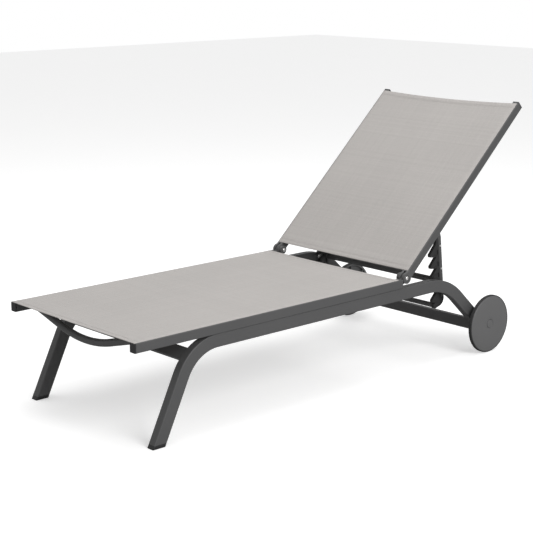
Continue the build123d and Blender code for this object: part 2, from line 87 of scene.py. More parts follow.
JOINTS = {joint["name"]: joint for joint in frame["joints"]}
HINGE = Vector(JOINTS["recline"]["pos_m"])
BACK_ANGLE = -radians(JOINTS["recline"]["range_deg"][0])
SIDES = (("left", -1), ("right", 1))
WHEEL_SEGMENTS = 160

# Hems and stitches of the slings.
HEM_SPACING = 1.35  # middle of one layer of a hem to the next, in thicknesses of the cloth
HEM_LIFT = 0.45  # how far a hem stands up, in thicknesses of the cloth
HEM_FADE = 0.02  # length over which the hem's lift ends
SAG_REACH = 0.12  # length over which the sag grows from a free end
SAG_AT_END = 0.6  # where on that growth a free end starts
THREAD_RADIUS = 0.00038
STITCH_ROWS = (0.0045, 0.0085)  # from the hem's inner edge

# Weld beads.
RIPPLES = 24  # round a tube
RIPPLE_DEPTH = 0.12  # of the bead's radius

# Local frames with X along the rails and Z out of the sling's face.
SEAT_PLACE = Matrix.Identity(4)
BACK_PLACE = Matrix.Translation(HINGE) @ Matrix.Rotation(-BACK_ANGLE, 4, "Y")


# ---------------------------------------------------------------- settings
def length_setting(name, description, default):
    """Property that holds a length in metres."""
    return FloatProperty(name=name, description=description, default=default, unit="LENGTH")


def colour_setting(name, description, default):
    """Property that holds a linear colour."""
    return FloatVectorProperty(name=name, description=description, default=default, subtype="COLOR", size=3)


class LoungerSlingSettings(bpy.types.PropertyGroup):
    """Sizes and colour of the two slings."""

    thickness: length_setting("Thickness", "Thickness of the mesh cloth", 0.0009)
    sag: length_setting("Sag", "How far the cloth's middle hangs below its edges", 0.003)
    hem: length_setting("Hem", "Width of the folded hem at each free end", 0.024)
    seat_curve: length_setting("Seat end curve", "How far the seat's free ends bow in", 0.001)
    back_curve: length_setting("Back end curve", "How far the back's top end bows in", 0.009)
    stitch: length_setting("Stitch pitch", "Distance from one stitch to the next", 0.004)
    weave: length_setting("Weave pitch", "Distance from yarn to yarn", 0.0016)
    colour: colour_setting("Cloth", "Colour of the yarn", (0.478, 0.455, 0.437))


class LoungerFrameSettings(bpy.types.PropertyGroup):
    """Colours and fine sizes of the frame and its fittings."""

    coat: colour_setting("Coat", "Powder coat of the tubes", (0.088, 0.088, 0.089))
    plastic: colour_setting("Plastic", "Moulded black parts", (0.02, 0.02, 0.021))
    bright: colour_setting("Bolts", "Stainless bolts and pins", (0.8, 0.79, 0.78))
    weld: length_setting("Weld bead", "Radius of the weld beads", 0.0022)
    softening: length_setting("Edge softening", "Rounding of moulded and cast edges", 0.0007)


class LoungerWheelSettings(bpy.types.PropertyGroup):
    """Sizes and colours of the wheels."""

    face: colour_setting("Wheel", "Moulded wheel", (0.13, 0.13, 0.131))
    tread: colour_setting("Tread", "Rubber tread", (0.03, 0.03, 0.031))
    ribs: IntProperty(name="Ribs", description="Ribs on the inboard side", default=8)


class LoungerStudioSettings(bpy.types.PropertyGroup):
    """Camera, lights and floor."""

    camera: FloatVectorProperty(
        name="Camera",
        description="Place of the camera",
        default=(-3.15491, -3.34366, 1.44425),
        subtype="TRANSLATION",
        size=3,
    )
    yaw: FloatProperty(
        name="Yaw",
        description="Turn of the view from +Y towards +X",
        default=radians(42.62),
        subtype="ANGLE",
    )
    pitch: FloatProperty(
        name="Pitch", description="How far the view looks down", default=radians(13.11), subtype="ANGLE"
    )
    lens: FloatProperty(name="Lens", description="Focal length on a 36 mm sensor, in mm", default=91.46)
    key: FloatProperty(name="Key light", description="Power of the key light", default=120.0, unit="POWER")
    fill: FloatProperty(name="Fill", description="Strength of the surrounding light", default=0.5)
    floor: FloatProperty(name="Floor", description="Brightness of the floor", default=0.93)
    glow: FloatProperty(
        name="Floor glow",
        description="Light that the floor adds to what the camera sees of it",
        default=0.42,
    )


# ---------------------------------------------------------------- shader node groups
def node_group(name, inputs, outputs):
    """New shader group with the named sockets; gives the tree and its two ends."""
    tree = bpy.data.node_groups.new(name, "ShaderNodeTree")
    for label, kind, default in inputs:
        socket = tree.interface.new_socket(name=label, in_out="INPUT", socket_type="NodeSocket" + kind)
        if default is not None:
            socket.default_value = default
    for label, kind in outputs:
        tree.interface.new_socket(name=label, in_out="OUTPUT", socket_type="NodeSocket" + kind)
    return tree, tree.nodes.new("NodeGroupInput"), tree.nodes.new("NodeGroupOutput")


def add_node(tree, kind, settings=None, **links):
    """Add a node, set its plain settings, and link or set its inputs by name or number."""
    node = tree.nodes.new("ShaderNode" + kind)
    for key, value in (settings or {}).items():
        setattr(node, key, value)
    for key, value in links.items():
        numbered = key[0] == "_" and key[1:].isdigit()
        socket = node.inputs[int(key[1:]) if numbered else key.replace("_", " ")]
        if isinstance(value, bpy.types.NodeSocket):
            tree.links.new(value, socket)
        else:
            socket.default_value = value
    return node


def calculate(tree, operation, first, second=None, third=None, clamp=False):
    node = add_node(tree, "Math", {"operation": operation, "use_clamp": clamp})
    for socket, value in zip(node.inputs, (first, second, third)):
        if isinstance(value, bpy.types.NodeSocket):
            tree.links.new(value, socket)
        elif value is not None:
            socket.default_value = value
    return node.outputs[0]


def make_grain_group():
    """Fine raised grain of a coat or a moulding."""
    tree, start, end = node_group(
        "fine_grain",
        [("Scale", "Float", 900.0), ("Depth", "Float", 0.00005), ("Softness", "Float", 0.5)],
        [("Normal", "Vector")],
    )
    place = add_node(tree, "TexCoord").outputs["Object"]
    size, softness = start.outputs["Scale"], start.outputs["Softness"]
    noise = add_node(tree, "TexNoise", Vector=place, Scale=size, Detail=2.0, Roughness=softness)
    bump = add_node(tree, "Bump", Strength=1.0, Distance=start.outputs["Depth"], Height=noise.outputs["Fac"])
    tree.links.new(bump.outputs["Normal"], end.inputs["Normal"])
    return tree


def make_drift_group():
    """Slow change of tone over a surface."""
    tree, start, end = node_group(
        "tone_drift",
        [
            ("Colour", "Color", None),
            ("Scale", "Float", 6.0),
            ("Amount", "Float", 0.1),
            ("Roughness", "Float", 0.5),
        ],
        [("Colour", "Color"), ("Roughness", "Float")],
    )
    place = add_node(tree, "TexCoord").outputs["Object"]
    wide = add_node(tree, "TexNoise", Vector=place, Scale=start.outputs["Scale"], Detail=3.0)
    fine_scale = calculate(tree, "MULTIPLY", start.outputs["Scale"], 30.0)
    fine = add_node(tree, "TexNoise", Vector=place, Scale=fine_scale, Detail=2.0)
    share = calculate(tree, "MULTIPLY", fine.outputs["Fac"], 0.3)
    both = calculate(tree, "MULTIPLY_ADD", wide.outputs["Fac"], 0.7, share)
    swing = calculate(tree, "SUBTRACT", both, 0.5)
    doubled = calculate(tree, "MULTIPLY", start.outputs["Amount"], 2.0)
    gain = calculate(tree, "MULTIPLY_ADD", swing, doubled, 1.0)
    shade = add_node(tree, "VectorMath", {"operation": "SCALE"}, _0=start.outputs["Colour"], Scale=gain)
    rough = calculate(tree, "MULTIPLY_ADD", swing, 0.3, start.outputs["Roughness"], clamp=True)
    tree.links.new(shade.outputs[0], end.inputs["Colour"])
    tree.links.new(rough, end.inputs["Roughness"])
    return tree


def make_wear_group():
    """Mask of the outer edges, where a coat rubs thin."""
    tree, start, end = node_group(
        "edge_wear",
        [("Radius", "Float", 0.0015), ("Amount", "Float", 0.5), ("Scale", "Float", 120.0)],
        [("Mask", "Float")],
    )
    bevel = add_node(tree, "Bevel", {"samples": 4}, Radius=start.outputs["Radius"])
    geometry = add_node(tree, "NewGeometry")
    rounded, flat = bevel.outputs["Normal"], geometry.outputs["Normal"]
    dot = add_node(tree, "VectorMath", {"operation": "DOT_PRODUCT"}, _0=rounded, _1=flat)
    edge = calculate(tree, "SUBTRACT", 1.0, dot.outputs["Value"])
    spread = calculate(tree, "MULTIPLY", edge, 6.0, clamp=True)
    place = add_node(tree, "TexCoord").outputs["Object"]
    noise = add_node(tree, "TexNoise", Vector=place, Scale=start.outputs["Scale"], Detail=4.0)
    broken = calculate(tree, "MULTIPLY", spread, noise.outputs["Fac"])
    mask = calculate(tree, "MULTIPLY", broken, start.outputs["Amount"], clamp=True)
    tree.links.new(mask, end.inputs["Mask"])
    return tree


def make_weave_group():
    """Plain weave of coated yarns, over and under in turn."""
    tree, start, end = node_group(
        "sling_weave",
        [("Pitch", "Float", 0.0016), ("Tilt", "Float", 0.0), ("Depth", "Float", 0.0003)],
        [("Normal", "Vector"), ("Gap", "Float"), ("Yarn", "Float")],
    )
    place = add_node(tree, "TexCoord").outputs["Object"]
    turned = add_node(
        tree, "VectorRotate", {"rotation_type": "Y_AXIS"}, Vector=place, Angle=start.outputs["Tilt"]
    ).outputs[0]
    axes = add_node(tree, "SeparateXYZ", Vector=turned)
    waves, yarns = [], []
    for axis in ("X", "Y"):
        count = calculate(tree, "DIVIDE", axes.outputs[axis], start.outputs["Pitch"])
        wave = calculate(tree, "SINE", calculate(tree, "MULTIPLY", count, pi))
        waves.append(wave)
        number = calculate(tree, "FLOOR", count)
        tone = add_node(tree, "TexWhiteNoise", {"noise_dimensions": "1D"}, W=number)
        yarns.append(tone.outputs["Value"])
    crossing = calculate(tree, "MULTIPLY", waves[0], waves[1])
    crown = calculate(tree, "MULTIPLY_ADD", crossing, 0.5, 0.5)
    gaps = [calculate(tree, "ABSOLUTE", wave) for wave in waves]
    lowest = calculate(tree, "MINIMUM", gaps[0], gaps[1])
    height = calculate(tree, "MULTIPLY_ADD", lowest, 0.6, calculate(tree, "MULTIPLY", crown, 0.4))
    bump = add_node(tree, "Bump", Strength=0.6, Distance=start.outputs["Depth"], Height=height)
    gap = calculate(tree, "LESS_THAN", lowest, 0.16)
    tree.links.new(bump.outputs["Normal"], end.inputs["Normal"])
    tree.links.new(gap, end.inputs["Gap"])
    tree.links.new(calculate(tree, "ADD", yarns[0], yarns[1]), end.inputs["Yarn"])
    return tree


def make_dust_group():
    """Mask of fine dust, thicker on faces that look up."""
    inputs = [("Amount", "Float", 0.1), ("Scale", "Float", 14.0)]
    tree, start, end = node_group("fine_dust", inputs, [("Mask", "Float")])
    geometry = add_node(tree, "NewGeometry")
    up = add_node(tree, "SeparateXYZ", Vector=geometry.outputs["Normal"]).outputs["Z"]
    facing = calculate(tree, "MULTIPLY_ADD", up, 0.5, 0.5, clamp=True)
    place = add_node(tree, "TexCoord").outputs["Object"]
    noise = add_node(tree, "TexNoise", Vector=place, Scale=start.outputs["Scale"], Detail=6.0, Roughness=0.7)
    patches = calculate(tree, "SMOOTH_MAX", calculate(tree, "SUBTRACT", noise.outputs["Fac"], 0.4), 0.0, 0.1)
    settled = calculate(tree, "MULTIPLY", facing, patches)
    mask = calculate(tree, "MULTIPLY", settled, start.outputs["Amount"], clamp=True)
    tree.links.new(mask, end.inputs["Mask"])
    return tree


# ---------------------------------------------------------------- finishes
def new_material(name):
    material = bpy.data.materials.new(name)
    material.use_nodes = True
    tree = material.node_tree
    tree.nodes.clear()
    shader = tree.nodes.new("ShaderNodeBsdfPrincipled")
    output = tree.nodes.new("ShaderNodeOutputMaterial")
    tree.links.new(shader.outputs[0], output.inputs["Surface"])
    return material, tree, shader


def use_group(tree, name, **values):
    """Place a shared group in a material with its own values."""
    node = tree.nodes.new("ShaderNodeGroup")
    node.node_tree = bpy.data.node_groups[name]
    for key, value in values.items():
        node.inputs[key].default_value = value
    return node


def mix_colours(tree, mask, first, second):
    node = add_node(tree, "Mix", {"data_type": "RGBA"})
    tree.links.new(mask, node.inputs[0])
    for socket, value in ((node.inputs[6], first), (node.inputs[7], second)):
        if isinstance(value, bpy.types.NodeSocket):
            tree.links.new(value, socket)
        else:
            socket.default_value = value
    return node.outputs[2]


def rgba(colour, gain=1.0):
    return tuple(channel * gain for channel in colour) + (1.0,)


def surface(
    name, colour, roughness, grain=900.0, depth=0.00004, drift=0.08, wear=0.4, worn=1.8, dust=0.1, **sockets
):
    """Finish with slow tone changes, fine grain, worn edges and a trace of dust."""
    material, tree, shader = new_material(name)
    tone = use_group(tree, "tone_drift", Colour=rgba(colour), Scale=5.0, Amount=drift, Roughness=roughness)
    edges = use_group(tree, "edge_wear", Amount=wear)
    powder = use_group(tree, "fine_dust", Amount=dust)
    relief = use_group(tree, "fine_grain", Scale=grain, Depth=depth)
    rubbed = mix_colours(tree, edges.outputs["Mask"], tone.outputs["Colour"], rgba(colour, worn))
    dusted = mix_colours(tree, powder.outputs["Mask"], rubbed, (0.42, 0.4, 0.37, 1.0))
    tree.links.new(dusted, shader.inputs["Base Color"])
    tree.links.new(tone.outputs["Roughness"], shader.inputs["Roughness"])
    tree.links.new(relief.outputs["Normal"], shader.inputs["Normal"])
    for key, value in sockets.items():
        shader.inputs[key.replace("_", " ")].default_value = value
    return material


def sling_surface(name, colour, pitch, tilt):
    """Coated mesh weave: yarn to yarn variation, gaps painted darker as shade seen through the open mesh,
    slow drift of tone.
    """
    material, tree, shader = new_material(name)
    weave = use_group(tree, "sling_weave", Pitch=pitch, Tilt=tilt)
    tone = use_group(tree, "tone_drift", Colour=rgba(colour), Scale=3.2, Amount=0.1, Roughness=0.62)
    powder = use_group(tree, "fine_dust", Amount=0.06, Scale=9.0)
    gain = calculate(tree, "MULTIPLY_ADD", weave.outputs["Yarn"], 0.07, 0.93)
    scaled = add_node(tree, "VectorMath", {"operation": "SCALE"}, _0=tone.outputs["Colour"], Scale=gain)
    yarn = scaled.outputs[0]
    # Painted shade: the gaps between yarns take 45% of the yarn's colour, standing in for the dark seen
    # through the open mesh.
    gap_shade_mask = calculate(tree, "MULTIPLY", weave.outputs["Gap"], 0.3)
    shaded_gaps = mix_colours(tree, gap_shade_mask, yarn, rgba(colour, 0.45))
    dusted = mix_colours(tree, powder.outputs["Mask"], shaded_gaps, (0.5, 0.48, 0.44, 1.0))
    tree.links.new(dusted, shader.inputs["Base Color"])
    tree.links.new(tone.outputs["Roughness"], shader.inputs["Roughness"])
    tree.links.new(weave.outputs["Normal"], shader.inputs["Normal"])
    shader.inputs["Sheen Weight"].default_value = 0.08
    shader.inputs["Specular IOR Level"].default_value = 0.3
    return material


# ---------------------------------------------------------------- mesh building
class Shape:
    """Points and faces of one piece, gathered and then made into an object."""

    def __init__(self):
        self.points = []
        self.faces = []

    def add(self, points, faces):
        start = len(self.points)
        self.points += [tuple(point) for point in points]
        self.faces += [tuple(index + start for index in face) for face in faces]

    def lathe(self, rings, place, steps=48, closed=False):
        """Turn rings of (radius, height) about place's Z. A third value makes a ring six-sided."""
        points, faces, rows = [], [], []
        for ring in rings:
            radius, height = ring[0], ring[1]
            if radius < 1e-7:
                rows.append([len(points)] * steps)
                points.append(place @ Vector((0, 0, height)))
                continue
            rows.append(list(range(len(points), len(points) + steps)))
            for step in range(steps):
                angle = 2 * pi * step / steps
                reach = radius
                if len(ring) > 2:
                    reach = radius / cos((angle + pi / 6) % (pi / 3) - pi / 6)
                points.append(place @ Vector((reach * cos(angle), reach * sin(angle), height)))
        pairs = list(zip(rows, rows[1:]))
        if closed:
            pairs.append((rows[-1], rows[0]))
        for low, high in pairs:
            for step in range(steps):
                after = (step + 1) % steps
                face = (low[step], low[after], high[after], high[step])
                face = tuple(dict.fromkeys(face))
                if len(face) > 2:
                    faces.append(face)
        self.add(points, faces)

    def sweep(self, centres, radius, steps=8, closed=False):
        """Round bead along a line of points; radius may be a number or one for each point."""
        centres = [Vector(point) for point in centres]
        count = len(centres)
        radii = radius if hasattr(radius, "__len__") else [radius] * count
        points, faces = [], []
        for i, centre in enumerate(centres):
            before = centres[i - 1] if (i or closed) else centre
            after = centres[(i + 1) % count] if (i < count - 1 or closed) else centre
            along = (after - before).normalized()
            side = along.cross(Vector((0.21, 0.34, 0.91))).normalized()
            up = side.cross(along)
            for step in range(steps):
                angle = 2 * pi * step / steps
                points.append(centre + radii[i] * (cos(angle) * side + sin(angle) * up))
        for i in range(count if closed else count - 1):
            row, nxt = i * steps, ((i + 1) % count) * steps
            for step in range(steps):
                after = (step + 1) % steps
                faces.append((row + step, row + after, nxt + after, nxt + step))
        if not closed:
            faces.append(tuple(range(steps))[::-1])
            faces.append(tuple(range((count - 1) * steps, count * steps)))
        self.add(points, faces)

    def build(self, name, material, body, sharp=35.0):
        mesh = bpy.data.meshes.new(name)
        mesh.from_pydata(self.points, [], self.faces)
        work = bmesh.new()
        work.from_mesh(mesh)
        bmesh.ops.recalc_face_normals(work, faces=work.faces)
        work.to_mesh(mesh)
        work.free()
        return finish_piece(name, mesh, material, body, sharp)


def finish_piece(name, mesh, material, body, sharp=35.0):
    """Make an object of a mesh, shade it, give it its finish and let it ride on a body."""
    mesh.shade_smooth()
    mesh.set_sharp_from_angle(angle=radians(sharp))
    mesh.materials.clear()
    mesh.materials.append(material)
    piece = bpy.data.objects.new(name, mesh)
    bpy.context.scene.collection.objects.link(piece)
    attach(piece, body)
    return piece


def eased(rings, radius, closed=False, steps=3):
    """Round the corners of a lathe profile."""
    count = len(rings)
    result = []
    for i, ring in enumerate(rings):
        if not closed and i in (0, count - 1):
            result.append(ring)
            continue
        here = np.array(ring[:2], float)
        before = np.array(rings[i - 1][:2], float)
        after = np.array(rings[(i + 1) % count][:2], float)
        to_before, to_after = before - here, after - here
        reach = min(radius, np.linalg.norm(to_before) / 2.2, np.linalg.norm(to_after) / 2.2)
        first = here + to_before / np.linalg.norm(to_before) * reach
        last = here + to_after / np.linalg.norm(to_after) * reach
        for step in range(steps + 1):
            t = step / steps
            point = (1 - t) ** 2 * first + 2 * t * (1 - t) * here + t * t * last
            result.append((float(point[0]), float(point[1]), *ring[2:]))
    return result


def softened(node, name, material, width):
    """Copy of a CAD node with its sharp edges rounded, standing for that node."""
    mesh = frame["nodes"][node].data.copy()
    work = bmesh.new()
    work.from_mesh(mesh)
    bmesh.ops.remove_doubles(work, verts=work.verts, dist=1e-6)
    bmesh.ops.dissolve_limit(work, angle_limit=radians(0.6), verts=work.verts, edges=work.edges)
    paired = [edge for edge in work.edges if len(edge.link_faces) == 2]
    edges = [edge for edge in paired if edge.calc_face_angle() > radians(38)]
    shape = {"offset": width, "segments": 2, "profile": 0.5, "clamp_overlap": True, "loop_slide": True}
    bmesh.ops.bevel(work, geom=edges, affect="EDGES", **shape)
    work.to_mesh(mesh)
    work.free()
    mesh.name = name
    piece = finish_piece(name, mesh, material, frame["nodes"][node]["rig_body"], 32.0)
    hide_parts(node)
    return piece


def slot_of(node):
    """Material slot that the record gives a CAD node."""
    return next(part["material_slot"] for part in frame["record"]["subparts"] if part["node"] == node)


def local_box(node, place):
    """Lowest and highest corner of a CAD node in a local frame."""
    inverse = place.inverted()
    points = np.array([inverse @ vertex.co for vertex in frame["nodes"][node].data.vertices])
    return Vector(points.min(0)), Vector(points.max(0))


def facing(direction, at):
    """Local frame at a point with its Z along a direction."""
    return Matrix.Translation(at) @ Vector(direction).to_track_quat("Z", "Y").to_matrix().to_4x4()


def smooth_step(value):
    value = np.clip(value, 0.0, 1.0)
    return value * value * (3 - 2 * value)


# ---------------------------------------------------------------- slings
def sling_profile(node, place, rail_node, settings, low_curve, high_curve):
    """Numbers that describe one sling in its own local frame."""
    low, high = local_box(node, place)
    rail_top = local_box(rail_node, place)[1].z
    return {
        "place": place,
        "low": low.x,
        "high": high.x,
        "half": high.y,
        "top": rail_top,
        "low_curve": low_curve,
        "high_curve": high_curve,
        "thickness": settings.thickness,
        "sag": settings.sag,
        "hem": settings.hem,
    }


def sling_height(shape, along, across):
    """Height of the cloth's middle layer over the rails, lifted where the hem is double."""
    base = 0.55 * shape["thickness"] + 0.0001
    from_low = along - shape["low"]
    from_high = shape["high"] - along
    ends = np.minimum(from_low, from_high)
    lift = HEM_LIFT * shape["thickness"] * (1 - smooth_step((ends - shape["hem"]) / HEM_FADE))
    bow = 1 - (across / shape["half"]) ** 2
    sag = shape["sag"] * np.maximum(bow, 0) * smooth_step(ends / SAG_REACH + SAG_AT_END)
    return shape["top"] + base + lift - sag


def sling_end(shape, across, which):
    """Where a free end lies, bowed in towards the middle."""
    bow = np.maximum(1 - (across / shape["half"]) ** 2, 0)
    if which == "low":
        return shape["low"] + shape["low_curve"] * bow
    return shape["high"] - shape["high_curve"] * bow


def build_sling(name, shape, material, body):
    """Cloth that dips into both keder slots, with a folded hem at each free end."""
    half, thickness = shape["half"], shape["thickness"]
    edge = 0.0013
    drop = 0.0028
    across = [(-half, -drop), (-half, -edge)]
    for step in range(1, 4):
        angle = pi / 2 * step / 3
        across.append((-half + edge * (1 - cos(angle)), -edge * (1 - sin(angle))))
    flat = np.linspace(-half + edge, half - edge, 41)[1:-1]
    across += [(value, 0.0) for value in flat]
    across += [(-y, z) for y, z in across[:5][::-1]]
    across = np.array(across)
    tangents = np.gradient(across, axis=0)
    tangents /= np.linalg.norm(tangents, axis=1)[:, None]
    normals = np.stack([-tangents[:, 1], tangents[:, 0]], axis=1)
    layer = HEM_SPACING * thickness
    turn = (pi / 4, pi / 2, 3 * pi / 4)
    hem = shape["hem"]
    stations = [(hem * (1 - step / 3), "low", layer) for step in range(4)]
    stations += [(-layer / 2 * sin(angle), "low", layer / 2 * (1 + cos(angle))) for angle in turn]
    stations += [(hem * step / 3, "low", 0.0) for step in range(4)]
    stations += [(share, "middle", 0.0) for share in np.linspace(0, 1, 62)[1:-1]]
    stations += [(hem * (1 - step / 3), "high", 0.0) for step in range(4)]
    stations += [(-layer / 2 * sin(angle), "high", layer / 2 * (1 - cos(angle))) for angle in turn]
    stations += [(hem * step / 3, "high", layer) for step in range(4)]
    y = across[:, 0]
    low, high = sling_end(shape, y, "low"), sling_end(shape, y, "high")
    points = []
    for value, zone, depth in stations:
        if zone == "low":
            along = low + value
        elif zone == "high":
            along = high - value
        else:
            along = (low + hem) * (1 - value) + (high - hem) * value
        level = sling_height(shape, along, y)
        for i in range(len(y)):
            lift_y = y[i] - normals[i][0] * depth
            lift_z = level[i] + across[i][1] - normals[i][1] * depth
            points.append(shape["place"] @ Vector((along[i], lift_y, lift_z)))
    width = len(y)
    faces = []
    for row in range(len(stations) - 1):
        for i in range(width - 1):
            start = row * width + i
            faces.append((start, start + 1, start + width + 1, start + width))
    mesh = bpy.data.meshes.new(name)
    mesh.from_pydata(points, [], faces)
    raw = bpy.data.objects.new(name + ".raw", mesh)
    bpy.context.scene.collection.objects.link(raw)
    solid = raw.modifiers.new("thickness", "SOLIDIFY")
    solid.thickness = thickness
    solid.offset = 0.0
    solid.use_even_offset = False
    graph = bpy.context.evaluated_depsgraph_get()
    final = bpy.data.meshes.new_from_object(raw.evaluated_get(graph))
    bpy.data.objects.remove(raw)
    final.name = name
    return finish_piece(name, final, material, body, 50.0)


def build_stitches(name, shape, material, body, pitch):
    """Two rows of short stitches along each hem."""
    stitches = Shape()
    length = pitch * 0.72
    for which, inwards in (("low", 1), ("high", -1)):
        for row in STITCH_ROWS:
            offset = shape["hem"] - row
            for y in np.arange(-shape["half"] + 0.006, shape["half"] - 0.006, pitch):
                ends = []
                for share in (-0.5, -0.25, 0.25, 0.5):
                    across = np.array([y + share * length])
                    along = sling_end(shape, across, which) + inwards * offset
                    level = sling_height(shape, along, across)[0] + shape["thickness"] / 2
                    level += 0.0002 if abs(share) < 0.4 else -0.0002
                    ends.append(shape["place"] @ Vector((along[0], across[0], level)))
                stitches.sweep(ends, THREAD_RADIUS, steps=5)
    return stitches.build(name, material, body)


# ---------------------------------------------------------------- operators
class LOUNGER_OT_finishes(bpy.types.Operator):
    """Make the shared node groups and every finish, and put them on the CAD nodes"""

    bl_idname = "lounger.finishes"
    bl_label = "Finishes"

    def execute(self, context):
        coat = context.scene.lounger_frame
        wheel = context.scene.lounger_wheel
        cloth = context.scene.lounger_sling
        for make in (make_grain_group, make_drift_group, make_wear_group, make_weave_group, make_dust_group):
            make()
        made = {
            "coated_frame": surface("powder_coat", coat.coat, 0.46, grain=700.0, depth=0.00005, dust=0.05),
            "coated_prop": surface(
                "powder_coat_prop", tuple(c * 0.9 for c in coat.coat), 0.48, grain=700.0, dust=0.05
            ),
            "coated_casting": surface(
                "powder_coat_casting", coat.coat, 0.5, grain=320.0, depth=0.0001, drift=0.12, dust=0.05
            ),
            "black_plastic": surface(
                "black_moulding",
                coat.plastic,
                0.42,
                grain=1400.0,
                depth=0.00003,
                wear=0.2,
                worn=2.2,
                dust=0.05,
            ),
            "wheel_plastic": surface(
                "wheel_moulding", wheel.face, 0.4, grain=1100.0, depth=0.00003, wear=0.25, dust=0.05
            ),
            "wheel_tread": surface(
                "tread_rubber", wheel.tread, 0.7, grain=500.0, depth=0.00008, wear=0.5, worn=2.0, dust=0.2
            ),
            "bright_steel": surface(
                "stainless",
                coat.bright,
                0.3,
                grain=1600.0,
                depth=0.00001,
                drift=0.05,
                wear=0.1,
                worn=1.2,
                dust=0.0,
                Metallic=0.7,
            ),
            "sling_fabric": sling_surface("sling_cloth", cloth.colour, cloth.weave, 0.0),
            "keder_plastic": surface("keder_cord", (0.2, 0.19, 0.18), 0.5, grain=800.0, wear=0.1),
        }
        made["back_fabric"] = sling_surface("sling_cloth_back", cloth.colour, cloth.weave, BACK_ANGLE)
        sewing = tuple(channel * 0.93 for channel in cloth.colour)
        made["thread"] = surface("sewing_thread", sewing, 0.7, grain=2500.0, wear=0.0, dust=0.1)
        made["weld"] = surface("coated_weld", tuple(c * 0.95 for c in coat.coat), 0.45, grain=500.0, wear=0.3)
        for slot, material in made.items():
            material["lounger_slot"] = slot
        for name, node in frame["nodes"].items():
            node.data.materials.clear()
            node.data.materials.append(finish_of(slot_of(name)))
        return {"FINISHED"}


def finish_of(slot):
    """The finish made for a slot."""
    return next(material for material in bpy.data.materials if material.get("lounger_slot") == slot)


class LOUNGER_OT_slings(bpy.types.Operator):
    """Stretch both slings between their rails, with folded and stitched hems"""

    bl_idname = "lounger.slings"
    bl_label = "Slings"

    def execute(self, context):
        settings = context.scene.lounger_sling
        plans = (
            ("seat", SEAT_PLACE, "base", "sling_fabric", settings.seat_curve, settings.seat_curve),
            ("back", BACK_PLACE, "back", "back_fabric", 0.0, settings.back_curve),
        )
        for part, place, body, finish, low_curve, high_curve in plans:
            node, rail = part + "_sling", part + "_rail_left"
            shape = sling_profile(node, place, rail, settings, low_curve, high_curve)
            cloth = build_sling(part + "_sling_cloth", shape, finish_of(finish), body)
            sewing = finish_of("thread")
            thread = build_stitches(part + "_sling_stitches", shape, sewing, body, settings.stitch)
            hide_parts(part + "_sling")
        return {"FINISHED"}


